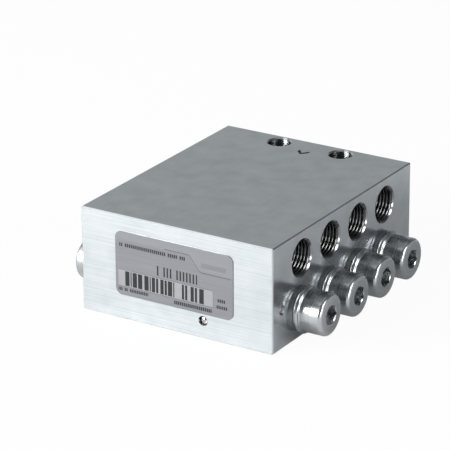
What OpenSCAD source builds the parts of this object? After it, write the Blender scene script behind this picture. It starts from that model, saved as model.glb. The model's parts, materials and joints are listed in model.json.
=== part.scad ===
// Progressive lubricant divider block with four metering pistons and eight outlets.
// Millimetres, +Z up. The label face looks along -Y, the pistons lie along X,
// and the origin is the centre of the block's underside.

/* [Housing block] */
// Width of the block from outlet face to outlet face
block_w = 60; // [56:1:80]
// Height of the block
block_h = 30; // [29:0.5:40]
// Distance from the label face to the first piston axis
front_end = 15; // [13:0.5:25]
// Distance from the last piston axis to the inlet face
back_end = 15; // [14:0.5:25]
// Broken edge all round the block
edge_break = 0.3; // [0.1:0.05:0.8]

/* [Pistons] */
// Distance between neighbouring piston axes
piston_pitch = 15; // [14.5:0.5:20]
// Height of the piston axes above the underside
piston_z = 8; // [7:0.25:9.5]
// Diameter of the piston bores
bore_d = 8; // [6.5:0.25:8.5]
// Radial running clearance of a piston in its bore
piston_clearance = 0.03; // [0.01:0.005:0.06]
// Travel of a piston between its two stops
piston_stroke = 4; // [2.5:0.25:5]
// Gap left between a piston and the plug that stops it
stop_gap = 0.05; // [0.02:0.01:0.2]
// Length of the middle land of a piston
middle_land = 4; // [3.8:0.1:5]
// Distance from the middle of a piston to each outer land
outer_land_x = 12.9; // [12:0.1:13.5]
// Diameter of a piston at the bottom of its grooves
groove_d = 5; // [3:0.25:5.5]
// Broken edge at the ends and lands of a piston
piston_break = 0.3; // [0.1:0.05:0.6]

/* [Screw plugs] */
// Thread diameter of the screw plugs
plug_thread_d = 10; // [9.5:0.25:10.5]
// Length of thread that a plug has in the block
plug_thread_len = 7; // [5:0.25:8]
// Radial clearance of a plug in its threaded hole
thread_clearance = 0.05; // [0.02:0.01:0.15]
// Open length behind a plug that feeds the end of its piston
end_chamber = 2.5; // [2.2:0.1:3.5]
// Diameter of the turned head of a plug
plug_head_d = 11.8; // [10.5:0.1:12.4]
// Distance that a plug stands out from the block
plug_reach = 9; // [7:0.25:12]
// Rounding at the outer rim of the head
plug_rim_r = 1; // [0.4:0.1:1.6]
// Diameter of the rounded collar of a plug
collar_d = 13.2; // [12.8:0.1:13.6]
// Thickness of the collar
collar_t = 1.6; // [1:0.1:2.4]
// Hexagon socket, measured across its flats
socket_af = 5; // [4:0.5:6]
// Depth of the hexagon socket
socket_depth = 5; // [3:0.25:6]
// Chamfer round the mouth of the socket
socket_chamfer = 0.2; // [0.1:0.05:0.5]
// Chamfer at the inner end of a plug
plug_nose_chamfer = 0.8; // [0.3:0.1:1]

/* [Sealing washers] */
// Outer diameter of a sealing washer
washer_d = 12.6; // [11.6:0.1:13]
// Thickness of a sealing washer
washer_t = 0.8; // [0.5:0.1:1.5]
// Radial clearance of a washer round the plug's thread
washer_clearance = 0.15; // [0.05:0.05:0.3]

/* [Outlets] */
// Height of the outlet axes above the underside
outlet_z = 22.4; // [21.8:0.1:23]
// Thread diameter of an outlet
outlet_thread_d = 10; // [8:0.25:10.5]
// Depth of an outlet's thread
outlet_depth = 9.5; // [8:0.25:10.5]
// Diameter of the drilled point behind an outlet's thread
outlet_drill_d = 9; // [7:0.25:9.5]
// Chamfer at the mouth of a threaded hole
mouth_chamfer = 0.35; // [0.1:0.05:0.6]
// Diameter of the slanted duct from a piston bore to its outlet
outlet_duct_d = 2.5; // [1.5:0.1:3]
// Distance from the middle of the block to where that duct leaves the bore
outlet_duct_x = 15; // [14:0.25:15.5]
// Depth at which that duct crosses the outlet's axis
outlet_duct_aim = 3.6; // [3:0.1:4.5]

/* [Cross passages] */
// Diameter of the passage that joins two opposite outlets
cross_d = 3; // [2:0.1:3.5]
// Thread diameter of the pin that shuts a cross passage
pin_thread_d = 5; // [4.5:0.25:6]
// Depth of the pin's thread beyond the right outlet's thread
pin_hole_depth = 9; // [8:0.25:11]
// Length of the pin's thread
pin_len = 6; // [4:0.25:6]
// Hexagon socket of the pin, measured across its flats
pin_socket_af = 2.5; // [2:0.5:3]
// Depth of the pin's socket
pin_socket_depth = 2.5; // [1.5:0.25:3]
// Broken edge at the open end of the pin
pin_break = 0.3; // [0.1:0.05:0.5]

/* [Inlet] */
// Thread diameter of the inlet
inlet_thread_d = 10; // [8:0.25:11]
// Depth of the inlet's thread
inlet_depth = 9; // [6:0.25:9.5]
// Diameter of the supply gallery over the piston bores
gallery_d = 3.5; // [2.5:0.1:3.6]
// Height of the gallery's axis above the crown of the bores
gallery_lift = 0.3; // [0.1:0.05:0.6]

/* [Transfer ducts] */
// Diameter of the duct from one piston to the end of the next
transfer_d = 2.5; // [1.5:0.1:2.8]
// Distance from the middle of the block to where that duct leaves the bore
transfer_x = 8.5; // [7.5:0.25:9]
// Distance inside the next plug's thread at which that duct comes out
transfer_inset = 0.8; // [0.4:0.1:1.4]

/* [Mounting holes] */
// Diameter of the two mounting holes
mount_hole_d = 6.6; // [5:0.1:7]
// Distance between the mounting holes
mount_spacing = 20; // [19:0.5:26]
// Distance from the mounting holes to the inlet face
mount_inset = 4.5; // [4.2:0.1:5.5]

/* [Ball plugs] */
// Diameter of the seats that the sealing balls are pressed into
ball_seat_d = 2.8; // [2.4:0.1:3.2]
// Depth of a ball seat
ball_seat_depth = 3.2; // [3:0.1:3.8]
// Radial clearance of a ball in its seat
ball_clearance = 0.01; // [0.005:0.005:0.03]
// Depth of a ball's crown below the face
ball_sink = 0.3; // [0.1:0.05:0.6]
// Diameter of the drilled passage behind a ball
passage_d = 2; // [1.2:0.1:2.2]
// Distance of the front passage below the piston axes
front_passage_drop = 3; // [2:0.1:3.2]
// Distance of the side passage above the piston axes
side_passage_rise = 3.2; // [2:0.1:3.5]
// Distance from the side passage's ball to the label face
side_passage_inset = 4.7; // [3:0.1:5.5]

/* [Label plate] */
// Width of the label plate
label_w = 37; // [20:0.1:46]
// Height of the label plate
label_h = 18.4; // [10:0.1:18.5]
// Thickness of the label plate
label_t = 0.2; // [0.1:0.05:0.5]
// Corner radius of the label plate
label_corner_r = 2; // [0.5:0.1:4]
// Middle of the label plate, across the block
label_x = -0.5; // [-4:0.1:4]
// Middle of the label plate, above the underside
label_z = 16.3; // [16:0.1:19]

/* [Flow mark] */
// Width of the arrow head stamped into the top face
mark_w = 3.4; // [2:0.1:5]
// Length of the arrow head
mark_len = 3.2; // [2:0.1:5]
// Thickness of its strokes along the block
mark_stroke = 1.3; // [0.6:0.1:1.6]
// Depth of the stamping
mark_depth = 0.25; // [0.1:0.05:0.5]
// Distance from the middle of the arrow head to the inlet face
mark_inset = 8.7; // [8:0.1:12]

/* [Hidden] */
$fn = 96;
piston_count = 4;
sides = ["left", "right"];

block_d = front_end + (piston_count - 1) * piston_pitch + back_end;
front_y = -block_d / 2;
back_y = block_d / 2;
side_x = block_w / 2;

bore_r = bore_d / 2;
piston_r = bore_r - piston_clearance;
plug_hole_r = plug_thread_d / 2;
plug_shank_r = plug_hole_r - thread_clearance;
plug_hole_depth = plug_thread_len + end_chamber;
chamber_x = side_x - plug_hole_depth;
stop_x = side_x - plug_thread_len;
piston_len = 2 * (stop_x - stop_gap) - piston_stroke;
rest_x = -piston_stroke / 2;
gallery_z = piston_z + bore_r + gallery_lift;
mount_y = back_y - mount_inset;

// Half angle of a twist drill's point
drill_half_angle = 59;
// Overlap of a cut past the surface that it opens
cut = 1;
// How far a duct runs on into the space that it opens into
duct_run = 1.5;

// Socket turns that the plugs happened to be tightened to
socket_turns = [
    [10, 48, 22, 35],
    [20, 5, 40, 12]
];

// Socket turns of the outlet pins
pin_turns = [25, 8, 50, 36];

steel = [0.70, 0.73, 0.75];
bright_steel = [0.80, 0.81, 0.83];
ground_steel = [0.62, 0.64, 0.66];
washer_steel = [0.55, 0.57, 0.58];
ball_steel = [0.58, 0.54, 0.54];
dark_steel = [0.30, 0.30, 0.31];
foil = [0.64, 0.66, 0.68];

function piston_y(k) = front_y + front_end + (k - 1) * piston_pitch;
function point_height(r) = r / tan(drill_half_angle);

// Turns a shape made along +Z so that it points out of the left or the right face.
module out_of_side(side) {
    mirror([side == "left" ? 1 : 0, 0, 0])
        rotate([0, 90, 0])
            children();
}

// Puts a shape made along +Z on the left or right face, pointing outward.
module on_side(side, y, z) {
    place_x = side == "left" ? -side_x : side_x;
    translate([place_x, y, z])
        out_of_side(side)
            children();
}

// A cylinder between two points.
module rod(from, to, d) {
    run = to - from;
    across = norm([run.x, run.y]);
    translate(from)
        rotate([0, atan2(across, run.z), atan2(run.y, run.x)])
            cylinder(d = d, h = norm(run));
}

// A duct through two points of its axis, run on a little at both ends.
module duct(from, to, d) {
    way = (to - from) / norm(to - from);
    rod(from - way * duct_run, to + way * duct_run, d);
}

// A rectangle with its four corners cut off.
module broken_rect(w, h) {
    x = w / 2;
    y = h / 2;
    c = edge_break;
    polygon([
        [-x + c, -y], [x - c, -y], [x, -y + c], [x, y - c],
        [x - c, y], [-x + c, y], [-x, y - c], [-x, -y + c]
    ]);
}

// The plain block with all its edges broken, standing on z = 0.
module blank() {
    translate([0, 0, block_h / 2])
        intersection() {
            linear_extrude(block_h, center = true)
                broken_rect(block_w, block_d);
            rotate([90, 0, 0])
                linear_extrude(block_d, center = true)
                    broken_rect(block_w, block_h);
            rotate([90, 0, 90])
                linear_extrude(block_w, center = true)
                    broken_rect(block_d, block_h);
        }
}

// The cone that breaks the mouth of a hole, pointing out of its face at z = 0.
module mouth(d) {
    translate([0, 0, -mouth_chamfer])
        cylinder(d1 = d, d2 = d + 2 * (mouth_chamfer + cut), h = mouth_chamfer + cut);
}

// A drilled and threaded blind hole, running down from its mouth at z = 0.
module threaded_hole(thread_d, depth, drill_d) {
    translate([0, 0, -depth])
        cylinder(d = thread_d, h = depth + cut);
    translate([0, 0, -depth - point_height(drill_d / 2)])
        cylinder(d1 = 0, d2 = drill_d, h = point_height(drill_d / 2));
    mouth(thread_d);
}

// The bore of one piston, opened at both ends for its plugs.
module piston_bore(k) {
    translate([-side_x, piston_y(k), piston_z])
        rotate([0, 90, 0])
            cylinder(d = bore_d, h = block_w);
    for (side = sides) {
        on_side(side, piston_y(k), piston_z) {
            translate([0, 0, -plug_hole_depth])
                cylinder(r = plug_hole_r, h = plug_hole_depth + cut);
            mouth(plug_thread_d);
        }
    }
}

// One outlet and the slanted duct drilled through its mouth into the bore.
module outlet(side, k) {
    out = side == "left" ? -1 : 1;
    on_side(side, piston_y(k), outlet_z)
        threaded_hole(outlet_thread_d, outlet_depth, outlet_drill_d);
    duct(
        [out * outlet_duct_x, piston_y(k), piston_z + bore_r],
        [out * (side_x - outlet_duct_aim), piston_y(k), outlet_z],
        outlet_duct_d
    );
}

// Puts a shape made along +Z at the bottom of a pin's hole, pointing at the right outlet.
module at_outlet_pin(k) {
    on_side("right", piston_y(k), outlet_z)
        translate([0, 0, -outlet_depth - pin_hole_depth])
            children();
}

// The passage between two opposite outlets, with the threaded hole of its pin.
module cross_passage(k) {
    floor_x = side_x - outlet_depth;
    rod([-floor_x, piston_y(k), outlet_z], [floor_x, piston_y(k), outlet_z], cross_d);
    at_outlet_pin(k) {
        cylinder(d = pin_thread_d, h = pin_hole_depth);
        translate([0, 0, -point_height(pin_thread_d / 2)])
            cylinder(d1 = 0, d2 = pin_thread_d, h = point_height(pin_thread_d / 2));
    }
}

// The duct from one piston's groove to the end chamber of the next piston.
// It is drilled through the next plug's hole.
module transfer(side, k) {
    out = side == "left" ? -1 : 1;
    duct(
        [out * transfer_x, piston_y(k) + bore_r, piston_z],
        [out * chamber_x, piston_y(k + 1) - plug_hole_r + transfer_inset, piston_z],
        transfer_d
    );
}

// The inlet and the gallery that feeds every piston bore through its crown.
module supply() {
    translate([0, back_y, gallery_z])
        rotate([-90, 0, 0])
            threaded_hole(inlet_thread_d, inlet_depth, gallery_d);
    rod([0, piston_y(1) - gallery_d / 2, gallery_z], [0, back_y - inlet_depth + cut, gallery_z], gallery_d);
}

// One through hole for a mounting screw, broken at both mouths.
module mounting_hole(x) {
    translate([x, mount_y, 0]) {
        translate([0, 0, -cut])
            cylinder(d = mount_hole_d, h = block_h + 2 * cut);
        translate([0, 0, block_h])
            mouth(mount_hole_d);
        mirror([0, 0, 1])
            mouth(mount_hole_d);
    }
}

// An arrow head on the top face that points from the inlet into the block.
module flow_mark() {
    x = mark_w / 2;
    y = mark_len / 2;
    translate([0, back_y - mark_inset, block_h - mark_depth])
        linear_extrude(mark_depth + cut)
            polygon([
                [0, -y], [x, y - mark_stroke], [x, y],
                [0, -y + mark_stroke], [-x, y], [-x, y - mark_stroke]
            ]);
}

// Puts a shape made along +Z on the label face where the front passage is drilled.
module at_front_passage() {
    translate([transfer_x, front_y, piston_z - front_passage_drop])
        rotate([90, 0, 0])
            children();
}

// Puts a shape made along +Z on the right face where the side passage is drilled.
module at_side_passage() {
    on_side("right", front_y + side_passage_inset, piston_z + side_passage_rise)
        children();
}

// The seat of a sealing ball, running down from the face at z = 0.
module ball_seat() {
    translate([0, 0, -ball_seat_depth])
        cylinder(d = ball_seat_d, h = ball_seat_depth + cut);
}

// The two drilled passages that are shut with balls after drilling.
module plugged_passages() {
    front_z = piston_z - front_passage_drop;
    side_y = front_y + side_passage_inset;
    side_z = piston_z + side_passage_rise;
    at_front_passage()
        ball_seat();
    rod(
        [transfer_x, front_y + cut, front_z],
        [transfer_x, piston_y(1) - bore_r / 2, front_z],
        passage_d
    );
    at_side_passage()
        ball_seat();
    rod(
        [side_x - ball_seat_depth + passage_d / 2, side_y, side_z],
        [chamber_x + end_chamber / 2, piston_y(1) - bore_r / 2, piston_z + bore_r / 2],
        passage_d
    );
}

module housing_block() {
    color(steel)
        difference() {
            blank();
            for (k = [1:piston_count]) {
                piston_bore(k);
            }
            for (side = sides, k = [1:piston_count]) {
                outlet(side, k);
            }
            for (k = [1:piston_count]) {
                cross_passage(k);
            }
            for (side = sides, k = [1:piston_count - 1]) {
                transfer(side, k);
            }
            supply();
            for (x = [-mount_spacing / 2, mount_spacing / 2]) {
                mounting_hole(x);
            }
            plugged_passages();
            flow_mark();
        }
}

// A printed foil plate, bonded to the front face.
module label_plate() {
    corner_x = label_w / 2 - label_corner_r;
    corner_y = label_h / 2 - label_corner_r;
    color(foil)
        translate([label_x, front_y, label_z])
            rotate([90, 0, 0])
                linear_extrude(label_t) {
                    square([label_w, label_h - 2 * label_corner_r], center = true);
                    square([label_w - 2 * label_corner_r, label_h], center = true);
                    for (x = [-corner_x, corner_x], y = [-corner_y, corner_y]) {
                        translate([x, y])
                            circle(label_corner_r);
                    }
                }
}

// Half outline of a piston along Y: outer lands, grooves and the middle land.
module piston_profile() {
    end = piston_len / 2;
    mid = middle_land / 2;
    core = groove_d / 2;
    b = piston_break;
    polygon([
        [0, -end], [piston_r - b, -end], [piston_r, -end + b],
        [piston_r, -outer_land_x], [core, -outer_land_x],
        [core, -mid], [piston_r, -mid], [piston_r, mid], [core, mid],
        [core, outer_land_x], [piston_r, outer_land_x],
        [piston_r, end - b], [piston_r - b, end], [0, end]
    ]);
}

// A turned and ground spool piston, drawn at its left stop.
module piston(k) {
    color(ground_steel)
        translate([rest_x, piston_y(k), piston_z])
            rotate([0, 90, 0])
                rotate_extrude()
                    piston_profile();
}

// Half outline of a plug: threaded shank, rounded collar and rounded head.
// The block's face is at y = 0 and the shank runs to negative y.
module plug_profile() {
    head_r = plug_head_d / 2;
    collar_top = washer_t + collar_t;
    bead_r = collar_t / 2;
    c = plug_nose_chamfer;
    polygon([
        [0, -plug_thread_len], [plug_shank_r - c, -plug_thread_len],
        [plug_shank_r, -plug_thread_len + c], [plug_shank_r, washer_t + bead_r],
        [0, washer_t + bead_r]
    ]);
    translate([0, washer_t])
        square([collar_d / 2 - bead_r, collar_t]);
    translate([collar_d / 2 - bead_r, washer_t + bead_r])
        circle(bead_r);
    translate([0, collar_top - bead_r])
        square([head_r, plug_reach - plug_rim_r - collar_top + bead_r]);
    translate([0, collar_top])
        square([head_r - plug_rim_r, plug_reach - collar_top]);
    translate([head_r - plug_rim_r, plug_reach - plug_rim_r])
        circle(plug_rim_r);
}

// A hexagon socket with a drilled bottom, running down from z = 0.
module hex_socket(af, depth, turn) {
    corner_d = af / cos(30);
    drill_r = af / 2 - socket_chamfer;
    translate([0, 0, -depth])
        rotate(turn)
            cylinder(d = corner_d, h = depth + cut, $fn = 6);
    translate([0, 0, -depth - point_height(drill_r)])
        cylinder(r1 = 0, r2 = drill_r, h = point_height(drill_r));
    translate([0, 0, -socket_chamfer - cut])
        cylinder(
            r1 = af / 2 - cut,
            r2 = af / 2 + socket_chamfer + cut,
            h = socket_chamfer + 2 * cut
        );
}

// A turned screw plug that shuts one end of a piston bore and stops the piston.
module plug(side, k) {
    turn = socket_turns[side == "left" ? 0 : 1][k - 1];
    color(bright_steel)
        on_side(side, piston_y(k), piston_z)
            difference() {
                rotate_extrude()
                    plug_profile();
                translate([0, 0, plug_reach])
                    hex_socket(socket_af, socket_depth, turn);
            }
}

// A flat sealing washer between the block and a plug's collar.
module washer(side, k) {
    color(washer_steel)
        on_side(side, piston_y(k), piston_z)
            difference() {
                cylinder(d = washer_d, h = washer_t);
                translate([0, 0, -cut])
                    cylinder(r = plug_shank_r + washer_clearance, h = washer_t + 2 * cut);
            }
}

// Half outline of an outlet pin: cone point on its seat, threaded shank and broken end.
module pin_profile() {
    pin_r = pin_thread_d / 2 - thread_clearance;
    tip_r = pin_r / 2;
    b = pin_break;
    polygon([
        [0, -point_height(pin_r - tip_r)], [tip_r, -point_height(pin_r - tip_r)], [pin_r, 0],
        [pin_r, pin_len - b], [pin_r - b, pin_len], [0, pin_len]
    ]);
}

// A threaded pin that keeps two opposite outlets apart, driven through the right outlet.
module outlet_pin(k) {
    color(dark_steel)
        at_outlet_pin(k)
            difference() {
                rotate_extrude()
                    pin_profile();
                translate([0, 0, pin_len])
                    hex_socket(pin_socket_af, pin_socket_depth, pin_turns[k - 1]);
            }
}

// A steel ball pressed into its seat, just below the face.
module sealing_ball() {
    ball_r = ball_seat_d / 2 - ball_clearance;
    color(ball_steel)
        translate([0, 0, -ball_sink - ball_r])
            sphere(ball_r);
}

module front_ball_plug() {
    at_front_passage()
        sealing_ball();
}

module side_ball_plug() {
    at_side_passage()
        sealing_ball();
}

housing_block();
label_plate();
for (k = [1:piston_count]) {
    piston(k);
}
for (side = sides, k = [1:piston_count]) {
    plug(side, k);
    washer(side, k);
}
for (k = [1:piston_count]) {
    outlet_pin(k);
}
front_ball_plug();
side_ball_plug();
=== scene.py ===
import json
import math

import bpy
from mathutils import Matrix, Vector

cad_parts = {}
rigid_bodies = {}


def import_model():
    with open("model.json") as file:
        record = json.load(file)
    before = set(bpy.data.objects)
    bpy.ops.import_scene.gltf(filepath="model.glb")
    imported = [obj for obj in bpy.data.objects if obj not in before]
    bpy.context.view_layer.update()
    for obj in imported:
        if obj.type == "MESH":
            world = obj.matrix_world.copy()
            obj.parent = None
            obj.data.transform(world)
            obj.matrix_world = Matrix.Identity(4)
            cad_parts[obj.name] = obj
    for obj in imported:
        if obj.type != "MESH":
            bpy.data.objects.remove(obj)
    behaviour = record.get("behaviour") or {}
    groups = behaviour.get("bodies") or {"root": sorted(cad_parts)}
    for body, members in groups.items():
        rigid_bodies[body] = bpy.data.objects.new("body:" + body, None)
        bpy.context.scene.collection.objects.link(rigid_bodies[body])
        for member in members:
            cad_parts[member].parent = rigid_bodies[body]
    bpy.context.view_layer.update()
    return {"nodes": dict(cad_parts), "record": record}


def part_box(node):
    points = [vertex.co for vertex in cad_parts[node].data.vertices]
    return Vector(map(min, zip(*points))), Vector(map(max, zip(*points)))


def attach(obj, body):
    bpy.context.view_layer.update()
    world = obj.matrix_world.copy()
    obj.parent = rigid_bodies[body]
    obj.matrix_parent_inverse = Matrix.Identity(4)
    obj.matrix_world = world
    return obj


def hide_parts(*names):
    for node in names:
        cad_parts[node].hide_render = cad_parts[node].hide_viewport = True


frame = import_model()

# Housing block
# One length of cold-drawn steel bar, milled and ground on every face, then drilled, tapped and zinc
# plated. The plating is thin and pale, so grinding lines and a faint cloudiness show through it.
MM = 0.001
SCREW_HOLE_X = 10.0 * MM
SCREW_HOLE_Y = 33.0 * MM
SCREW_HOLE_R = 3.3 * MM
SCREW_HOLE_MARGIN = 0.1 * MM
DRILL_FEED = 0.20 * MM
DRILL_RING_HEIGHT = 2.2
MARK_INSET = 8.7 * MM
MARK_REACH = 2.2 * MM
MARK_DEPTH = 0.25 * MM
MARK_BAND = 0.9 * MARK_DEPTH
PORT_ROWS = 4
PORT_PITCH = 15.0 * MM
PORT_HEIGHT = 22.4 * MM
PORT_DEPTH = 10.0 * MM
MOUTH_CHAMFER = 0.35 * MM
TAPPED_MARGIN = 0.05 * MM
WALL_NORMAL_Z = 0.3
FACE_NORMAL = 0.8
SIDE_LINES = (100, 45, 3200)
FRONT_LINES = (38, 100, 3600)
TOP_LINES = (2600, 45, 100)
PLATING_CLOUDS = (170, 170, 170)
GRINDING_DETAIL = 4
GRINDING_DEPTH = 0.012 * MM
GRINDING_STRENGTH = 0.6
PLATING_COLOURS = [
    (0.38, (0.55, 0.585, 0.60)), (0.50, (0.64, 0.67, 0.68)), (0.62, (0.71, 0.735, 0.745)),
]
# Painted shade inside the screw holes: their walls are coloured darker than the plating.
HOLE_SHADE_COLOUR = (0.16, 0.165, 0.168)
# Painted shade on the stamped mark's floor.
STAMP_SHADE_COLOUR = (0.10, 0.102, 0.105)
# Painted shade in the tapped ports' bores and mouth chamfers.
PORT_SHADE_COLOUR = (0.30, 0.305, 0.31)
PLATING_ROUGHNESS = 0.18
GROUND_ROUGHNESS = 0.18
ROUGHNESS_DRIFT = 0.04
block = frame["nodes"]["housing_block"]
_, block_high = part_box("housing_block")
mounts = {mount["name"]: mount for mount in frame["record"]["mounts"]}
port_radius = mounts["inlet"]["dims"]["r_mm"] * MM
inlet_height = mounts["inlet"]["pos_m"][2]


def new_group(name, inputs, outputs):
    """An empty shader node group with float inputs (name, default) and float outputs (name)."""
    group = bpy.data.node_groups.new(name, "ShaderNodeTree")
    for socket, default in inputs:
        made = group.interface.new_socket(socket, in_out="INPUT", socket_type="NodeSocketFloat")
        made.default_value = default
    for socket in outputs:
        group.interface.new_socket(socket, in_out="OUTPUT", socket_type="NodeSocketFloat")
    return group, group.nodes.new("NodeGroupInput"), group.nodes.new("NodeGroupOutput")


def math_node(tree, operation, *values):
    """A Math node whose inputs are sockets or plain numbers; returns its output socket."""
    node = tree.nodes.new("ShaderNodeMath")
    node.operation = operation
    for socket, value in zip(node.inputs, values):
        if isinstance(value, (int, float)):
            socket.default_value = value
        else:
            tree.links.new(value, socket)
    return node.outputs[0]


def off_axis(tree, a, b):
    """How far a point lies from an axis, from its two offsets across the axis."""
    squares = [math_node(tree, "MULTIPLY", offset, offset) for offset in (a, b)]
    return math_node(tree, "SQRT", math_node(tree, "ADD", *squares))


def stretched_noise(tree, vector, stretch, detail):
    """Noise drawn out along the axes whose stretch value is small, in cycles per metre."""
    mapping = tree.nodes.new("ShaderNodeMapping")
    mapping.inputs["Scale"].default_value = stretch
    tree.links.new(vector, mapping.inputs["Vector"])
    noise = tree.nodes.new("ShaderNodeTexNoise")
    noise.inputs["Scale"].default_value = 1.0
    noise.inputs["Detail"].default_value = detail
    tree.links.new(mapping.outputs["Vector"], noise.inputs["Vector"])
    return noise.outputs["Fac"]


def blend_value(tree, mask, a, b):
    """Value a where the mask is 0 and b where it is 1."""
    mix = tree.nodes.new("ShaderNodeMix")
    tree.links.new(mask, mix.inputs["Factor"])
    tree.links.new(a, mix.inputs["A"])
    tree.links.new(b, mix.inputs["B"])
    return mix.outputs["Result"]


# Grinding lines follow the wheel's travel. They are plain to see on the label and inlet faces,
# where the wheel crossed the bar, and faint on the rest. The screw holes keep the rings of their
# drill. Masks find the screw holes' walls, the stamped mark's floor and the tapped ports, whose
# colour is darkened with painted shade.
grinding, grinding_in, grinding_out = new_group(
    "grinding_lines",
    [("Line contrast", 0.12), ("Front contrast", 0.42), ("Cloud contrast", 0.36)],
    ["Tone", "Height", "Front", "Top", "Hole shade", "Stamp shade", "Port shade"],
)
grinding_place = grinding.nodes.new("ShaderNodeTexCoord")
face_normal = grinding.nodes.new("ShaderNodeSeparateXYZ")
grinding.links.new(grinding_place.outputs["Normal"], face_normal.inputs["Vector"])
across = math_node(grinding, "ABSOLUTE", face_normal.outputs["Y"])
upright = math_node(grinding, "ABSOLUTE", face_normal.outputs["Z"])
block_place = grinding_place.outputs["Object"]
spot = grinding.nodes.new("ShaderNodeSeparateXYZ")
grinding.links.new(block_place, spot.inputs["Vector"])
spot_x, spot_y, spot_z = spot.outputs["X"], spot.outputs["Y"], spot.outputs["Z"]

from_hole = off_axis(
    grinding,
    math_node(grinding, "SUBTRACT", math_node(grinding, "ABSOLUTE", spot_x), SCREW_HOLE_X),
    math_node(grinding, "SUBTRACT", spot_y, SCREW_HOLE_Y),
)
# The screw holes' walls: they keep their drill rings in relief, and their colour gets painted
# shade.
hole_walls_ringed_and_shaded = math_node(
    grinding, "MULTIPLY",
    math_node(grinding, "LESS_THAN", from_hole, SCREW_HOLE_R + SCREW_HOLE_MARGIN),
    math_node(grinding, "LESS_THAN", upright, WALL_NORMAL_Z),
)
front_mask = math_node(
    grinding, "MULTIPLY",
    math_node(grinding, "GREATER_THAN", across, FACE_NORMAL),
    math_node(grinding, "SUBTRACT", 1.0, hole_walls_ringed_and_shaded),
)
top_mask = math_node(grinding, "GREATER_THAN", upright, FACE_NORMAL)

# The stamped mark's floor, whose colour gets painted shade.
mark_side = math_node(grinding, "COMPARE", spot_x, 0.0, MARK_REACH)
mark_row = math_node(grinding, "COMPARE", spot_y, block_high.y - MARK_INSET, MARK_REACH)
mark_low = math_node(grinding, "COMPARE", spot_z, block_high.z - MARK_DEPTH, MARK_BAND)
mark_area = math_node(grinding, "MULTIPLY", mark_side, mark_row)
stamp_recess_shade = math_node(grinding, "MULTIPLY", mark_area, mark_low)

# The tapped ports' bores and mouth chamfers, whose colour gets painted shade.
tapped_reach = port_radius + MOUTH_CHAMFER + TAPPED_MARGIN
row_reach = (PORT_ROWS - 1) / 2 * PORT_PITCH + tapped_reach
port_row = math_node(grinding, "FLOORED_MODULO", spot_y, PORT_PITCH)
from_port = off_axis(
    grinding,
    math_node(grinding, "SUBTRACT", port_row, PORT_PITCH / 2),
    math_node(grinding, "SUBTRACT", spot_z, PORT_HEIGHT),
)
in_outlet = math_node(
    grinding, "MULTIPLY",
    math_node(grinding, "LESS_THAN", from_port, tapped_reach),
    math_node(grinding, "COMPARE", spot_y, 0.0, row_reach),
)
from_inlet = off_axis(grinding, spot_x, math_node(grinding, "SUBTRACT", spot_z, inlet_height))
in_inlet = math_node(
    grinding, "MULTIPLY",
    math_node(grinding, "LESS_THAN", from_inlet, tapped_reach),
    math_node(grinding, "GREATER_THAN", spot_y, block_high.y - PORT_DEPTH),
)
port_mouth_shade = math_node(grinding, "MAXIMUM", in_outlet, in_inlet)

side_lines = stretched_noise(grinding, block_place, SIDE_LINES, GRINDING_DETAIL)
front_lines = stretched_noise(grinding, block_place, FRONT_LINES, GRINDING_DETAIL)
top_lines = stretched_noise(grinding, block_place, TOP_LINES, GRINDING_DETAIL)
lines = blend_value(grinding, front_mask, side_lines, front_lines)
lines = blend_value(grinding, top_mask, lines, top_lines)
clouds = stretched_noise(grinding, block_place, PLATING_CLOUDS, GRINDING_DETAIL)
line_weight = math_node(
    grinding, "ADD", grinding_in.outputs["Line contrast"],
    math_node(grinding, "MULTIPLY", front_mask, grinding_in.outputs["Front contrast"]),
)
line_tone = math_node(
    grinding, "MULTIPLY", math_node(grinding, "SUBTRACT", lines, 0.5), line_weight
)
cloud_tone = math_node(
    grinding, "MULTIPLY",
    math_node(grinding, "SUBTRACT", clouds, 0.5), grinding_in.outputs["Cloud contrast"],
)
tone = math_node(grinding, "ADD", math_node(grinding, "ADD", line_tone, cloud_tone), 0.5)
drill_rings = math_node(
    grinding, "SINE", math_node(grinding, "MULTIPLY", spot_z, 2 * math.pi / DRILL_FEED)
)
relief_height = blend_value(
    grinding, hole_walls_ringed_and_shaded,
    math_node(grinding, "MULTIPLY", lines, line_weight),
    math_node(grinding, "MULTIPLY", drill_rings, DRILL_RING_HEIGHT),
)
grinding_results = {
    "Tone": tone, "Height": relief_height, "Front": front_mask, "Top": top_mask,
    "Hole shade": hole_walls_ringed_and_shaded, "Stamp shade": stamp_recess_shade, "Port shade": port_mouth_shade,
}
for result, value in grinding_results.items():
    grinding.links.new(value, grinding_out.inputs[result])


def new_material(name, metallic):
    """A material with only its shader; returns the material, its tree and its shader node."""
    material = bpy.data.materials.new(name)
    material.use_nodes = True
    shader = material.node_tree.nodes["Principled BSDF"]
    shader.inputs["Metallic"].default_value = metallic
    return material, material.node_tree, shader


def colour_ramp(tree, value, stops):
    """Colours between (position, rgb) stops, driven by a value."""
    ramp = tree.nodes.new("ShaderNodeValToRGB")
    while len(ramp.color_ramp.elements) < len(stops):
        ramp.color_ramp.elements.new(1.0)
    for element, (position, rgb) in zip(ramp.color_ramp.elements, stops):
        element.position = position
        element.color = (*rgb, 1.0)
    tree.links.new(value, ramp.inputs["Fac"])
    return ramp.outputs["Color"]


def spread(tree, value, low, high, low_in=0.3, high_in=0.7):
    """Maps a value from low_in..high_in, a noise's usual span, to low..high."""
    node = tree.nodes.new("ShaderNodeMapRange")
    tree.links.new(value, node.inputs["Value"])
    node.inputs["From Min"].default_value = low_in
    node.inputs["From Max"].default_value = high_in
    node.inputs["To Min"].default_value = low
    node.inputs["To Max"].default_value = high
    return node.outputs["Result"]


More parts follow.
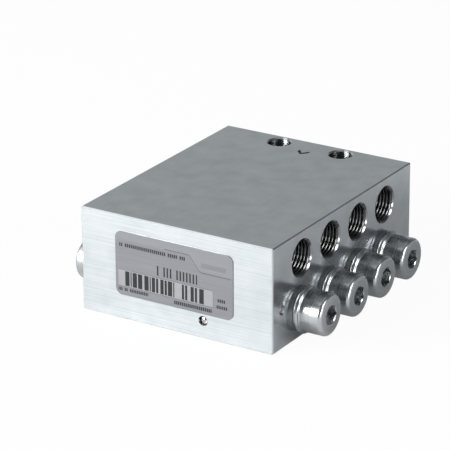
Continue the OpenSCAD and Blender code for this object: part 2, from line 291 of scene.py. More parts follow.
def bump(tree, height, shader, depth, strength):
    """Small relief of the given depth in metres, fed to the shader's normal."""
    node = tree.nodes.new("ShaderNodeBump")
    node.inputs["Strength"].default_value = strength
    node.inputs["Distance"].default_value = depth
    tree.links.new(height, node.inputs["Height"])
    tree.links.new(node.outputs["Normal"], shader.inputs["Normal"])


def dress(piece, material):
    """Gives a piece this one material."""
    piece.data.materials.clear()
    piece.data.materials.append(material)


def blend_colour(tree, mask, a, b):
    """Colour a, a socket, where the mask is 0 and colour b, an rgb, where it is 1."""
    mix = tree.nodes.new("ShaderNodeMix")
    mix.data_type = "RGBA"
    tree.links.new(mask, mix.inputs["Factor"])
    tree.links.new(a, mix.inputs["A"])
    mix.inputs["B"].default_value = (*b, 1.0)
    return mix.outputs["Result"]


zinc, zinc_tree, zinc_shader = new_material("zinc_steel", 1.0)
ground = zinc_tree.nodes.new("ShaderNodeGroup")
ground.node_tree = grinding
plating = colour_ramp(zinc_tree, ground.outputs["Tone"], PLATING_COLOURS)
# Painted shade in the screw holes, on the stamped mark's floor and in the tapped ports.
plating = blend_colour(zinc_tree, ground.outputs["Hole shade"], plating, HOLE_SHADE_COLOUR)
plating = blend_colour(zinc_tree, ground.outputs["Stamp shade"], plating, STAMP_SHADE_COLOUR)
plating = blend_colour(zinc_tree, ground.outputs["Port shade"], plating, PORT_SHADE_COLOUR)
zinc_tree.links.new(plating, zinc_shader.inputs["Base Color"])
ground_roughness = math_node(
    zinc_tree, "ADD",
    math_node(zinc_tree, "MULTIPLY", ground.outputs["Front"], GROUND_ROUGHNESS),
    math_node(zinc_tree, "MULTIPLY", ground.outputs["Top"], GROUND_ROUGHNESS),
)
face_roughness = math_node(zinc_tree, "ADD", PLATING_ROUGHNESS, ground_roughness)
drift = spread(zinc_tree, ground.outputs["Tone"], ROUGHNESS_DRIFT, -ROUGHNESS_DRIFT)
zinc_tree.links.new(
    math_node(zinc_tree, "ADD", face_roughness, drift), zinc_shader.inputs["Roughness"]
)
bump(zinc_tree, ground.outputs["Height"], zinc_shader, GRINDING_DEPTH, GRINDING_STRENGTH)
dress(block, zinc)

# Outlet and inlet threads
# Fine metric threads tapped into the block: a ridge every millimetre winds in from the mouth.
# Each is one ridge on the wall of its drilled hole, and the mouth's chamfer cuts its start away.
THREAD_PITCH = 1.0 * MM
THREAD_TURNS = 9
THREAD_LEAD = 0.6 * MM
STEPS_PER_TURN = 72
RIDGE_ROOT = 0.94 * MM
RIDGE_CREST = 0.22 * MM
RIDGE_HEIGHT = 0.44 * MM
RIDGE_SINK = 0.03 * MM
CREST_ROUND = 0.10 * MM
CREST_STEPS = 4
WELD = 0.001 * MM
COUNTERSINK_TURN = math.radians(0.5)
THREAD_SMOOTH = math.radians(50)
THREAD_GRAIN = (260, 260, 260)
# The threads' near-black colour is painted shade deep inside the ports.
THREAD_SHADE_COLOURS = [(0.35, (0.09, 0.09, 0.09)), (0.65, (0.13, 0.13, 0.13))]
THREAD_ROUGHNESS = (0.15, 0.20)


def deselect():
    """Empties object mode's selection, so that the next operator acts on the new piece alone."""
    bpy.ops.object.select_all(action="DESELECT")


def pick(piece):
    """Makes a piece the only selected and active one."""
    deselect()
    piece.select_set(True)
    bpy.context.view_layer.objects.active = piece


def open_up(piece):
    """Takes a piece into edit mode with all of its mesh selected."""
    pick(piece)
    bpy.ops.object.mode_set(mode="EDIT")
    bpy.ops.mesh.select_all(action="SELECT")


def settle(piece):
    """Moves a piece's place and turn into its mesh."""
    pick(piece)
    bpy.ops.object.transform_apply(location=True, rotation=True, scale=True)


def copy_of(piece, name):
    """A copy with its own mesh."""
    copy = piece.copy()
    copy.data = piece.data.copy()
    copy.name = name
    bpy.context.scene.collection.objects.link(copy)
    return copy


def apply(piece, modifier):
    """Applies a modifier of a piece."""
    pick(piece)
    bpy.ops.object.modifier_apply(modifier=modifier.name)


def cut_away(piece, cutter):
    """Cuts a cutter out of a piece and removes the cutter."""
    cut = piece.modifiers.new("cut", "BOOLEAN")
    cut.operation = "DIFFERENCE"
    cut.solver = "EXACT"
    cut.object = cutter
    apply(piece, cut)
    bpy.data.objects.remove(cutter)


def grained_metal(name, stretch, detail, colours, roughness, relief=None):
    """Bare metal whose fine grain shifts its colour and roughness and may stand in relief."""
    material, tree, shader = new_material(name, 1.0)
    grain_place = tree.nodes.new("ShaderNodeTexCoord").outputs["Object"]
    grain = stretched_noise(tree, grain_place, stretch, detail)
    tree.links.new(colour_ramp(tree, grain, colours), shader.inputs["Base Color"])
    tree.links.new(spread(tree, grain, *roughness), shader.inputs["Roughness"])
    if relief:
        bump(tree, grain, shader, *relief)
    return material


# The ridge's section is a plane narrowed towards its crest, then wound round Z by a screw modifier.
deselect()
bpy.ops.mesh.primitive_plane_add(size=1.0, rotation=(math.radians(90), 0, 0))
ridge = bpy.context.object
settle(ridge)
for corner in ridge.data.vertices:
    at_root = corner.co.x > 0
    width = RIDGE_ROOT if at_root else RIDGE_CREST
    corner.co.z = math.copysign(width / 2, corner.co.z)
    corner.co.x = port_radius + RIDGE_SINK if at_root else port_radius - RIDGE_HEIGHT
for corner in ridge.data.vertices:
    corner.select = corner.co.x < port_radius - RIDGE_HEIGHT / 2
bpy.ops.object.mode_set(mode="EDIT")
bpy.ops.mesh.bevel(offset=CREST_ROUND, segments=CREST_STEPS, affect="VERTICES")
bpy.ops.object.mode_set(mode="OBJECT")
winding = ridge.modifiers.new("winding", "SCREW")
winding.axis = "Z"
winding.screw_offset = THREAD_PITCH
winding.iterations = THREAD_TURNS
winding.steps = STEPS_PER_TURN
winding.render_steps = STEPS_PER_TURN
winding.use_merge_vertices = False
apply(ridge, winding)
open_up(ridge)
bpy.ops.mesh.remove_doubles(threshold=WELD)
bpy.ops.mesh.fill_holes(sides=0)
bpy.ops.mesh.normals_make_consistent(inside=False)
bpy.ops.object.mode_set(mode="OBJECT")

# A cone as wide as the mouth's chamfer cuts the start away, and only the ridge's deep part is kept.
# The cone is turned a little, so that its edges don't lie on the ridge's own.
sink_reach = 2 * THREAD_LEAD
sink_depth = port_radius + MOUTH_CHAMFER + sink_reach
deselect()
bpy.ops.mesh.primitive_cone_add(
    vertices=4 * STEPS_PER_TURN, radius1=sink_depth, radius2=0, depth=sink_depth,
    location=(0, 0, THREAD_LEAD - sink_reach + sink_depth / 2), rotation=(0, 0, COUNTERSINK_TURN),
)
cut_away(ridge, bpy.context.object)
open_up(ridge)
bpy.ops.mesh.remove_doubles(threshold=WELD)
bpy.ops.mesh.dissolve_degenerate(threshold=WELD)
bpy.ops.mesh.select_all(action="DESELECT")
bpy.ops.object.mode_set(mode="OBJECT")
max(ridge.data.vertices, key=lambda corner: corner.co.z).select = True
bpy.ops.object.mode_set(mode="EDIT")
bpy.ops.mesh.select_linked()
bpy.ops.mesh.select_all(action="INVERT")
bpy.ops.mesh.delete(type="VERT")
bpy.ops.object.mode_set(mode="OBJECT")
bpy.ops.object.shade_smooth_by_angle(angle=THREAD_SMOOTH)
thread_steel_in_shade = grained_metal(
    "tapped_thread_in_shade", THREAD_GRAIN, detail=2, colours=THREAD_SHADE_COLOURS, roughness=THREAD_ROUGHNESS
)
dress(ridge, thread_steel_in_shade)

piston_rows = [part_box(f"piston_{number}") for number in range(1, PORT_ROWS + 1)]
mouths = {"inlet": (Vector((0, block_high.y, inlet_height)), Vector((0, 1, 0)))}
for side, outward in (("left", -1), ("right", 1)):
    for number, (low, high) in enumerate(piston_rows, start=1):
        mouth = Vector((outward * block_high.x, (low.y + high.y) / 2, PORT_HEIGHT))
        mouths[f"outlet_{side}_{number}"] = (mouth, Vector((outward, 0, 0)))
for name, (mouth, outward) in mouths.items():
    thread = copy_of(ridge, name + "_thread")
    thread.rotation_mode = "QUATERNION"
    thread.rotation_quaternion = (-outward).to_track_quat("Z", "Y")
    thread.location = mouth + outward * THREAD_LEAD
    settle(thread)
    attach(thread, "block")
bpy.data.objects.remove(ridge)

# Pistons
# Hardened steel spools, turned with two grooves and ground to their bores.
# They shuttle inside the block, so only their bright ground finish is given here.
PISTON_RINGS = (5200, 60, 60)
PISTON_COLOURS = [(0.35, (0.50, 0.51, 0.53)), (0.65, (0.63, 0.64, 0.66))]
PISTON_ROUGHNESS = (0.14, 0.24)
PISTON_RELIEF = (0.002 * MM, 0.5)
piston_steel = grained_metal(
    "ground_piston", PISTON_RINGS, detail=3, colours=PISTON_COLOURS, roughness=PISTON_ROUGHNESS,
    relief=PISTON_RELIEF,
)
for number in range(1, PORT_ROWS + 1):
    dress(frame["nodes"][f"piston_{number}"], piston_steel)

# Screw plugs
# Free-cutting steel, turned in one set-up: threaded shank, rounded collar, plain head with a rolled
# rim and a broached hexagon socket. They are zinc plated bright and shut the piston bores' ends.
PLUG_SEGMENTS = 96
WASHER_T = 0.8 * MM
COLLAR_T = 1.6 * MM
COLLAR_R = 6.6 * MM
NECK_FILLET = 0.35 * MM
HEAD_R = 5.9 * MM
RIM_R = 1.0 * MM
SHANK_R = 4.95 * MM
SHANK_CHAMFER = 0.8 * MM
SOCKET_AF = 5.0 * MM
SOCKET_DEPTH = 5.0 * MM
SOCKET_CHAMFER = 0.2 * MM
DRILL_HALF_ANGLE = math.radians(59)
DRILL_SEGMENTS = 48
CUTTER_OVERRUN = 1 * MM
ARC_STEPS = 8
CORNER_TURN = 30
TURNED_SMOOTH = math.radians(30)
PLUG_TURNS = {"left": (10, 48, 22, 35), "right": (20, 5, 40, 12)}
PLUG_AXIS_HEIGHT = 8.0 * MM
PLUG_COLOURS = [
    (0.30, (0.46, 0.475, 0.48)), (0.50, (0.55, 0.565, 0.57)), (0.70, (0.62, 0.63, 0.635)),
]
PLUG_ROUGHNESS = (0.20, 0.29)
PLUG_RELIEF = (0.003 * MM, 0.5)
plug_low, plug_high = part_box("right_plug_1")
shank_end = plug_low.x - block_high.x
head_end = plug_high.x - block_high.x


def arc(centre_r, centre_z, radius, start, stop, steps=ARC_STEPS):
    """Points (radius, height) of an arc between two angles in degrees, 0 outwards and 90 up."""
    turns = [math.radians(start + (stop - start) * i / steps) for i in range(steps + 1)]
    return [(centre_r + radius * math.cos(t), centre_z + radius * math.sin(t)) for t in turns]


def turned(name, outline, segments):
    """A turned solid about Z: a circle is drawn up ring by ring through (radius, height) points."""
    deselect()
    (radius, height), rest = outline[0], outline[1:]
    bpy.ops.mesh.primitive_circle_add(vertices=segments, radius=radius, location=(0, 0, height))
    piece = bpy.context.object
    piece.name = name
    settle(piece)
    open_up(piece)
    for next_radius, next_height in rest:
        rise = (0, 0, next_height - height)
        bpy.ops.mesh.extrude_region_move(TRANSFORM_OT_translate={"value": rise})
        grow = next_radius / radius
        bpy.ops.transform.resize(value=(grow, grow, 1), center_override=(0, 0, 0))
        radius, height = next_radius, next_height
    bpy.ops.mesh.select_all(action="SELECT")
    bpy.ops.mesh.fill_holes(sides=0)
    bpy.ops.mesh.normals_make_consistent(inside=False)
    bpy.ops.object.mode_set(mode="OBJECT")
    return piece


def cut_socket(piece, top, across_flats, depth, chamfer):
    """Cuts a hexagon socket with a drilled bottom and a chamfered mouth into a piece's top."""
    flat_r = across_flats / 2
    corner_r = flat_r / math.cos(math.radians(CORNER_TURN))
    drill_r = flat_r - chamfer
    drill_point = drill_r / math.tan(DRILL_HALF_ANGLE)
    deselect()
    bpy.ops.mesh.primitive_cylinder_add(
        vertices=6, radius=corner_r, depth=2 * depth, location=(0, 0, top)
    )
    cut_away(piece, bpy.context.object)
    deselect()
    bpy.ops.mesh.primitive_cone_add(
        vertices=DRILL_SEGMENTS, radius1=0, radius2=drill_r, depth=drill_point,
        location=(0, 0, top - depth - drill_point / 2),
    )
    cut_away(piece, bpy.context.object)
    deselect()
    bpy.ops.mesh.primitive_cone_add(
        vertices=PLUG_SEGMENTS, radius1=flat_r - CUTTER_OVERRUN,
        radius2=flat_r + chamfer + CUTTER_OVERRUN, depth=chamfer + 2 * CUTTER_OVERRUN,
        location=(0, 0, top - chamfer / 2),
    )
    cut_away(piece, bpy.context.object)
    pick(piece)
    bpy.ops.object.shade_smooth_by_angle(angle=TURNED_SMOOTH)


def lay_outwards(piece, foot, outward, turn_degrees):
    """Lays a piece made about Z along X from its foot, with its hexagon turned by some degrees."""
    turn = Matrix.Rotation(math.radians(CORNER_TURN + turn_degrees), 4, "Z")
    lay = Matrix.Rotation(math.radians(90 * outward), 4, "Y")
    piece.matrix_world = Matrix.Translation(foot) @ lay @ turn
    settle(piece)


bead_r = COLLAR_T / 2
bead_z = WASHER_T + bead_r
collar_top = WASHER_T + COLLAR_T
plug_outline = [
    (SHANK_R - SHANK_CHAMFER, shank_end),
    (SHANK_R, shank_end + SHANK_CHAMFER),
    (SHANK_R, WASHER_T),
    *arc(COLLAR_R - bead_r, bead_z, bead_r, -90, 90, 2 * ARC_STEPS),
    *arc(HEAD_R + NECK_FILLET, collar_top + NECK_FILLET, NECK_FILLET, 270, 180),
    *arc(HEAD_R - RIM_R, head_end - RIM_R, RIM_R, 0, 90),
]
plug = turned("plug_pattern", plug_outline, PLUG_SEGMENTS)
cut_socket(plug, head_end, SOCKET_AF, SOCKET_DEPTH, SOCKET_CHAMFER)

# Turning marks run round the plug: along its length on the barrel and by radius on its end face.
turning, turning_in, turning_out = new_group(
    "turning_marks",
    [("Axis height", PLUG_AXIS_HEIGHT), ("Pitch", PORT_PITCH), ("Fineness", 4200.0)],
    ["Rings"],
)
turning_place = turning.nodes.new("ShaderNodeSeparateXYZ")
turning_object = turning.nodes.new("ShaderNodeTexCoord").outputs["Object"]
turning.links.new(turning_object, turning_place.inputs["Vector"])
plug_pitch, fineness = turning_in.outputs["Pitch"], turning_in.outputs["Fineness"]
plug_row = math_node(turning, "FLOORED_MODULO", turning_place.outputs["Y"], plug_pitch)
turn_radius = off_axis(
    turning,
    math_node(turning, "SUBTRACT", plug_row, math_node(turning, "MULTIPLY", plug_pitch, 0.5)),
    math_node(turning, "SUBTRACT", turning_place.outputs["Z"], turning_in.outputs["Axis height"]),
)
turn_place = turning.nodes.new("ShaderNodeCombineXYZ")
along_plug = math_node(turning, "MULTIPLY", turning_place.outputs["X"], fineness)
turning.links.new(along_plug, turn_place.inputs["X"])
turning.links.new(math_node(turning, "MULTIPLY", turn_radius, fineness), turn_place.inputs["Y"])
rings = stretched_noise(turning, turn_place.outputs["Vector"], (1, 1, 1), detail=3)
turning.links.new(rings, turning_out.inputs["Rings"])

plug_steel, plug_tree, plug_shader = new_material("turned_steel", 1.0)
marks = plug_tree.nodes.new("ShaderNodeGroup")
marks.node_tree = turning
plug_rings = marks.outputs["Rings"]
plug_tree.links.new(
    colour_ramp(plug_tree, plug_rings, PLUG_COLOURS), plug_shader.inputs["Base Color"]
)
plug_tree.links.new(
    spread(plug_tree, plug_rings, *PLUG_ROUGHNESS), plug_shader.inputs["Roughness"]
)
bump(plug_tree, plug_rings, plug_shader, *PLUG_RELIEF)
dress(plug, plug_steel)

for side, outward in (("left", -1), ("right", 1)):
    for number, (low, high) in enumerate(piston_rows, start=1):
        foot = Vector((outward * block_high.x, (low.y + high.y) / 2, (low.z + high.z) / 2))
        piece = copy_of(plug, f"{side}_screw_plug_{number}")
        lay_outwards(piece, foot, outward, outward * PLUG_TURNS[side][number - 1])
        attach(piece, "block")
        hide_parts(f"{side}_plug_{number}")
bpy.data.objects.remove(plug)

# Sealing washers
# Thin flat rings of plain steel, punched from sheet and tumbled smooth.
# Each is squeezed between the block and a plug's collar, so only its colour is given here,
# darkened with painted shade from the block and the collar around it.
WASHER_GRAIN = (1400, 1400, 1400)
# A dark grey that stands in for the shade between block and collar.
WASHER_SHADE_COLOURS = [(0.3, (0.24, 0.25, 0.25)), (0.7, (0.36, 0.375, 0.38))]
WASHER_ROUGHNESS = (0.26, 0.38)
washer_steel_in_shade = grained_metal(
    "punched_washer_in_shade", WASHER_GRAIN, detail=4, colours=WASHER_SHADE_COLOURS, roughness=WASHER_ROUGHNESS
)
for side in ("left", "right"):
    for number in range(1, PORT_ROWS + 1):
        dress(frame["nodes"][f"{side}_washer_{number}"], washer_steel_in_shade)

# Ball plugs
# Hardened bearing balls, ground bright, pressed into the mouths of two drilled passages.
# Each sits a little below the face and is drawn up ring by ring, almost to its poles.
BALL_SEGMENTS = 48
BALL_RINGS = 24
POLE_ANGLE = 88
BALL_GRAIN = (1600, 1600, 1600)
# The balls' pinkish tint is a painted reflection on their grey steel.
BALL_STEEL_AND_REFLECTION_COLOURS = [(0.3, (0.50, 0.45, 0.45)), (0.7, (0.66, 0.60, 0.60))]
BALL_ROUGHNESS = (0.10, 0.20)
ball_steel_and_reflection = grained_metal(
    "pressed_ball", BALL_GRAIN, detail=3, colours=BALL_STEEL_AND_REFLECTION_COLOURS, roughness=BALL_ROUGHNESS
)
for face in ("front", "side"):
    low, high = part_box(f"{face}_ball_plug")
    ball_r = (high.z - low.z) / 2
    ball_outline = arc(0, 0, ball_r, -POLE_ANGLE, POLE_ANGLE, BALL_RINGS)
    ball = turned(f"{face}_pressed_ball", ball_outline, BALL_SEGMENTS)
    ball.location = (low + high) / 2
    settle(ball)
    bpy.ops.object.shade_smooth()
    dress(ball, ball_steel_and_reflection)
    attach(ball, "block")
    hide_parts(f"{face}_ball_plug")

# Outlet pins
# Short blackened set screws, driven in through the right outlets to keep opposite outlets apart.
# Each is turned with a blunt point and has a broached hexagon socket.
PIN_R = 2.45 * MM
PIN_LENGTH = 6.0 * MM
PIN_BREAK = 0.3 * MM
PIN_SOCKET_AF = 2.5 * MM
PIN_SOCKET_DEPTH = 2.5 * MM
PIN_SOCKET_CHAMFER = 0.15 * MM
PIN_SEGMENTS = 64
PIN_TURNS = (25, 8, 50, 36)
PIN_GRAIN = (1500, 1500, 1500)
PIN_COLOURS = [(0.3, (0.08, 0.08, 0.085)), (0.7, (0.14, 0.14, 0.145))]
PIN_ROUGHNESS = (0.34, 0.46)
point_r = PIN_R / 2
point_end = -(PIN_R - point_r) / math.tan(DRILL_HALF_ANGLE)
pin_outline = [
    (point_r, point_end),
    (PIN_R, 0),
    (PIN_R, PIN_LENGTH - PIN_BREAK),
    (PIN_R - PIN_BREAK, PIN_LENGTH),
]
pin = turned("pin_pattern", pin_outline, PIN_SEGMENTS)
cut_socket(pin, PIN_LENGTH, PIN_SOCKET_AF, PIN_SOCKET_DEPTH, PIN_SOCKET_CHAMFER)
pin_steel = grained_metal(
    "blackened_pin", PIN_GRAIN, detail=3, colours=PIN_COLOURS, roughness=PIN_ROUGHNESS
)
dress(pin, pin_steel)
for number, turn_degrees in enumerate(PIN_TURNS, start=1):
    low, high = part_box(f"outlet_pin_{number}")
    foot = Vector((high.x - PIN_LENGTH, (low.y + high.y) / 2, (low.z + high.z) / 2))
    piece = copy_of(pin, f"cross_passage_pin_{number}")
    lay_outwards(piece, foot, 1, turn_degrees)
    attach(piece, "block")
    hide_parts(f"outlet_pin_{number}")
bpy.data.objects.remove(pin)

# Label plate
# A satin aluminium foil with a bonded back, printed in dark grey: a strip of plain bars in a pale
# panel, a few rows of short dashes and a tab with a curved edge.
BAR_WIDTH = 0.34 * MM
# An area's left, right, bottom and top are shares of the plate's width and height.
BAR_AREA = (0.075, 0.755, 0.155, 0.385)
BAR_SHARE = 0.56
BAR_SEED = 17.0
DASH_ROWS = [  # area, length of a dash and its gap, share of that length inked, seed
    ((0.035, 0.60, 0.765, 0.820), 0.62 * MM, 0.70, 11.0),
    ((0.345, 0.70, 0.435, 0.585), 1.02 * MM, 0.46, 44.0),
    ((0.022, 0.28, 0.068, 0.118), 0.56 * MM, 0.72, 70.0),
    ((0.50, 0.82, 0.052, 0.108), 0.60 * MM, 0.72, 95.0),
    ((0.86, 0.935, 0.243, 0.293), 0.62 * MM, 0.70, 121.0),
    ((0.86, 0.955, 0.143, 0.193), 0.56 * MM, 0.70, 150.0),
]
DASHES_KEPT = 0.86
TAB_CURVE = (0.62, 0.74)
TAB_HEIGHTS = (0.87, 0.64)
TAB_BAR_AREA = (0.735, 0.945, 0.715, 0.790)
TAB_BAR_INK = 0.20
EDGE_SPAN = (0.42, 0.985)
EDGE_HALF = 0.009
PANEL_AREA = (0.02, 0.833, 0.14, 0.40)
PANEL_FRAME_OUTER = (0.018, 0.835, 0.135, 0.405)
PANEL_FRAME_INNER = (0.022, 0.831, 0.145, 0.395)
LINE_INK = 0.45
FOIL_METALLIC = 0.35
FOIL_GRAIN = (60, 100, 2600)
FOIL_COLOURS = [(0.3, (0.150, 0.153, 0.163)), (0.7, (0.170, 0.174, 0.184))]
FOIL_ROUGHNESS = (0.42, 0.52)
TAB_COLOUR, TAB_COVER = (0.23, 0.235, 0.245), 0.25
PANEL_COLOUR, PANEL_COVER = (0.28, 0.285, 0.295), 0.6
INK_COLOUR = (0.012, 0.012, 0.014)
label = frame["nodes"]["label_plate"]
label_low, label_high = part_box("label_plate")
label_w, label_h = label_high.x - label_low.x, label_high.z - label_low.z


def strip(tree, value, low, high):
    """1 where a value lies between low and high, else 0."""
    return math_node(tree, "COMPARE", value, (low + high) / 2, (high - low) / 2)


def patch(tree, u, v, left, right, bottom, top):
    """1 inside a rectangle of the plate, given as shares of its width and height."""
    return math_node(
        tree, "MULTIPLY", strip(tree, u, left, right), strip(tree, v, bottom, top)
    )


def some_cells(tree, along, seed, share):
    """1 in a random share of the whole steps along a value."""
    noise = tree.nodes.new("ShaderNodeTexWhiteNoise")
    noise.noise_dimensions = "1D"
    step = math_node(tree, "ADD", math_node(tree, "FLOOR", along), seed)
    tree.links.new(step, noise.inputs["W"])
    return math_node(tree, "LESS_THAN", noise.outputs["Value"], share)


def dashes(tree, u, v, area, length, inked_share, seed):
    """A row of upright dashes, one per length in metres, with a few left out."""
    along = math_node(tree, "MULTIPLY", u, label_w / length)
    inked = math_node(tree, "LESS_THAN", math_node(tree, "FRACT", along), inked_share)
    row = math_node(tree, "MULTIPLY", patch(tree, u, v, *area), inked)
    return math_node(tree, "MULTIPLY", row, some_cells(tree, along, seed, DASHES_KEPT))


label_print, print_in, print_out = new_group(
    "label_print", [("Bar width", BAR_WIDTH)], ["Ink", "Panel", "Tab"]
)
print_map = label_print.nodes.new("ShaderNodeMapping")
print_map.inputs["Location"].default_value = (-label_low.x / label_w, 0, -label_low.z / label_h)
print_map.inputs["Scale"].default_value = (1 / label_w, 1, 1 / label_h)
print_object = label_print.nodes.new("ShaderNodeTexCoord").outputs["Object"]
label_print.links.new(print_object, print_map.inputs["Vector"])
print_place = label_print.nodes.new("ShaderNodeSeparateXYZ")
label_print.links.new(print_map.outputs["Vector"], print_place.inputs["Vector"])
u, v = print_place.outputs["X"], print_place.outputs["Z"]

bar_steps = math_node(
    label_print, "DIVIDE",
    math_node(label_print, "MULTIPLY", u, label_w), print_in.outputs["Bar width"],
)
ink = math_node(
    label_print, "MULTIPLY",
    patch(label_print, u, v, *BAR_AREA), some_cells(label_print, bar_steps, BAR_SEED, BAR_SHARE),
)
for row in DASH_ROWS:
    ink = math_node(label_print, "MAXIMUM", ink, dashes(label_print, u, v, *row))
tab_edge = spread(label_print, u, *TAB_HEIGHTS, *TAB_CURVE)
tab_edge.node.interpolation_type = "SMOOTHSTEP"
above_edge = math_node(label_print, "SUBTRACT", v, tab_edge)
edge_line = math_node(
    label_print, "MULTIPLY",
    strip(label_print, above_edge, -EDGE_HALF, EDGE_HALF), strip(label_print, u, *EDGE_SPAN),
)
frame_line = math_node(
    label_print, "SUBTRACT",
    patch(label_print, u, v, *PANEL_FRAME_OUTER), patch(label_print, u, v, *PANEL_FRAME_INNER),
)
tab_bar = patch(label_print, u, v, *TAB_BAR_AREA)
for shape, strength in ((tab_bar, TAB_BAR_INK), (edge_line, LINE_INK), (frame_line, LINE_INK)):
    faint = math_node(label_print, "MULTIPLY", shape, strength)
    ink = math_node(label_print, "MAXIMUM", ink, faint)
tab = math_node(label_print, "GREATER_THAN", above_edge, 0.0)
label_print.links.new(ink, print_out.inputs["Ink"])
label_print.links.new(patch(label_print, u, v, *PANEL_AREA), print_out.inputs["Panel"])
label_print.links.new(tab, print_out.inputs["Tab"])

foil, foil_tree, foil_shader = new_material("label_foil", FOIL_METALLIC)
foil_place = foil_tree.nodes.new("ShaderNodeTexCoord").outputs["Object"]
foil_grain = stretched_noise(foil_tree, foil_place, FOIL_GRAIN, detail=3)
printed = foil_tree.nodes.new("ShaderNodeGroup")
printed.node_tree = label_print
tab_mask = math_node(foil_tree, "MULTIPLY", printed.outputs["Tab"], TAB_COVER)
panel_mask = math_node(foil_tree, "MULTIPLY", printed.outputs["Panel"], PANEL_COVER)
foil_colour = colour_ramp(foil_tree, foil_grain, FOIL_COLOURS)
foil_colour = blend_colour(foil_tree, tab_mask, foil_colour, TAB_COLOUR)
foil_colour = blend_colour(foil_tree, panel_mask, foil_colour, PANEL_COLOUR)
foil_colour = blend_colour(foil_tree, printed.outputs["Ink"], foil_colour, INK_COLOUR)
foil_tree.links.new(foil_colour, foil_shader.inputs["Base Color"])
foil_tree.links.new(
    spread(foil_tree, foil_grain, *FOIL_ROUGHNESS), foil_shader.inputs["Roughness"]
)
dress(label, foil)

# Floor and light
# A pale, matt table that looks white to the camera, in a dim room with paler sides and ceiling.
# A large soft light stands at the front left, a weak one above it and two small ones at the right.
FLOOR_SIZE = 6.0
FLOOR_GAP = 0.05 * MM
TABLE_COLOUR = (0.62, 0.63, 0.64, 1)
TABLE_ROUGHNESS = 0.9
WHITE = (1, 1, 1, 1)
SEEN_GLOW = 0.955
MIRRORED_GLOW = 0.02
ROOM_COLOURS = [(0.0, (0.085, 0.093, 0.105)), (1.0, (0.56, 0.58, 0.59))]
deselect()
bpy.ops.mesh.primitive_plane_add(size=FLOOR_SIZE, location=(0, 0, -FLOOR_GAP))
floor = bpy.context.object
floor.name = "table"
settle(floor)
table_white, table_tree, table_shader = new_material("table_white", 0.0)
table_shader.inputs["Base Color"].default_value = TABLE_COLOUR
table_shader.inputs["Roughness"].default_value = TABLE_ROUGHNESS
table_out = table_tree.nodes["Material Output"]
table_path = table_tree.nodes.new("ShaderNodeLightPath")
table_glow = table_tree.nodes.new("ShaderNodeEmission")
table_glow.inputs["Color"].default_value = WHITE
table_mix = table_tree.nodes.new("ShaderNodeMixShader")
glow_share = math_node(
    table_tree, "ADD",
    math_node(table_tree, "MULTIPLY", table_path.outputs["Is Camera Ray"], SEEN_GLOW),
    math_node(table_tree, "MULTIPLY", table_path.outputs["Is Glossy Ray"], MIRRORED_GLOW),
)
table_tree.links.new(glow_share, table_mix.inputs["Fac"])
table_tree.links.new(table_shader.outputs["BSDF"], table_mix.inputs[1])
table_tree.links.new(table_glow.outputs["Emission"], table_mix.inputs[2])
table_tree.links.new(table_mix.outputs["Shader"], table_out.inputs["Surface"])
dress(floor, table_white)


def soft_light(name, place, aim_height, width, height, power):
    """A soft box of a width and height at a place, aimed at a point above the origin."""
    lamp = bpy.data.lights.new(name, "AREA")
    lamp.shape = "RECTANGLE"
    lamp.size = width
    lamp.size_y = height
    lamp.energy = power
    lamp_object = bpy.data.objects.new(name, lamp)
    bpy.context.scene.collection.objects.link(lamp_object)
    lamp_object.location = place
    towards = Vector((0, 0, aim_height)) - Vector(place)
    lamp_object.rotation_euler = towards.to_track_quat("-Z", "Y").to_euler()


soft_light(
    "front_left_light", place=(-0.71, -0.945, 0.43), aim_height=0.01,
    width=0.79, height=0.36, power=33.6,
)
soft_light(
    "high_left_light", place=(-0.60, -0.45, 0.95), aim_height=0.01,
    width=0.6, height=0.6, power=1.2,
)
soft_light(
    "right_light", place=(0.84, -0.04, 0.48), aim_height=0.02,
    width=0.46, height=0.20, power=3.0,
)
soft_light(
    "low_right_light", place=(0.97, -0.24, 0.11), aim_height=0.02,
    width=0.73, height=0.20, power=2.8,
)

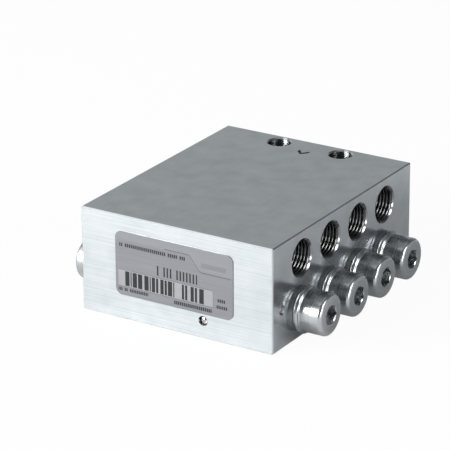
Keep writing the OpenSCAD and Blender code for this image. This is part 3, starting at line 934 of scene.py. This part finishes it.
world = bpy.data.worlds.new("studio")
bpy.context.scene.world = world
world.use_nodes = True
sky = world.node_tree
sky_light = sky.nodes["Background"]
sky_place = sky.nodes.new("ShaderNodeSeparateXYZ")
sky_direction = sky.nodes.new("ShaderNodeTexCoord").outputs["Generated"]
sky.links.new(sky_direction, sky_place.inputs["Vector"])
sky_x, sky_z = sky_place.outputs["X"], sky_place.outputs["Z"]
towards_left = spread(sky, sky_x, low=1.0, high=0.0, low_in=-0.8, high_in=0.6)
towards_right = spread(sky, sky_x, low=0.0, high=0.42, low_in=0.60, high_in=0.85)
near_horizon = spread(sky, sky_z, low=1.0, high=0.05, low_in=0.42, high_in=0.70)
overhead = spread(sky, sky_z, low=0.0, high=0.55, low_in=0.84, high_in=0.95)
either_side = math_node(sky, "ADD", towards_left, towards_right)
beside = math_node(sky, "MULTIPLY", either_side, near_horizon)
room = colour_ramp(sky, math_node(sky, "MAXIMUM", beside, overhead), ROOM_COLOURS)
sky_path = sky.nodes.new("ShaderNodeLightPath")
sky_mix = sky.nodes.new("ShaderNodeMix")
sky_mix.data_type = "RGBA"
sky_mix.inputs["B"].default_value = WHITE
sky.links.new(sky_path.outputs["Is Camera Ray"], sky_mix.inputs["Factor"])
sky.links.new(room, sky_mix.inputs["A"])
sky.links.new(sky_mix.outputs["Result"], sky_light.inputs["Color"])
sky_light.inputs["Strength"].default_value = 1.0

# Camera
# The photograph's own viewpoint: to the right of the label face and a little above it.
# It stands far off with a long lens, so the block's edges run almost parallel.
CAMERA_PLACE = (0.3723, -0.6103, 0.3032)
CAMERA_AZIMUTH = math.radians(31.917)
CAMERA_ELEVATION = math.radians(21.758)
CAMERA_ROLL = math.radians(-0.303)
PHOTO_PIXELS = 450
FOCAL_PIXELS = 2796.0
camera_data = bpy.data.cameras.new("camera")
camera_data.sensor_fit = "HORIZONTAL"
camera_data.lens = FOCAL_PIXELS / PHOTO_PIXELS * camera_data.sensor_width
camera = bpy.data.objects.new("camera", camera_data)
bpy.context.scene.collection.objects.link(camera)
back = Vector((
    math.sin(CAMERA_AZIMUTH) * math.cos(CAMERA_ELEVATION),
    -math.cos(CAMERA_AZIMUTH) * math.cos(CAMERA_ELEVATION),
    math.sin(CAMERA_ELEVATION),
))
level = (-back).to_track_quat("-Z", "Y").to_matrix().to_4x4()
roll = Matrix.Rotation(CAMERA_ROLL, 4, "Z")
camera.matrix_world = Matrix.Translation(CAMERA_PLACE) @ level @ roll
bpy.context.scene.camera = camera
bpy.context.scene.view_settings.view_transform = "Standard"
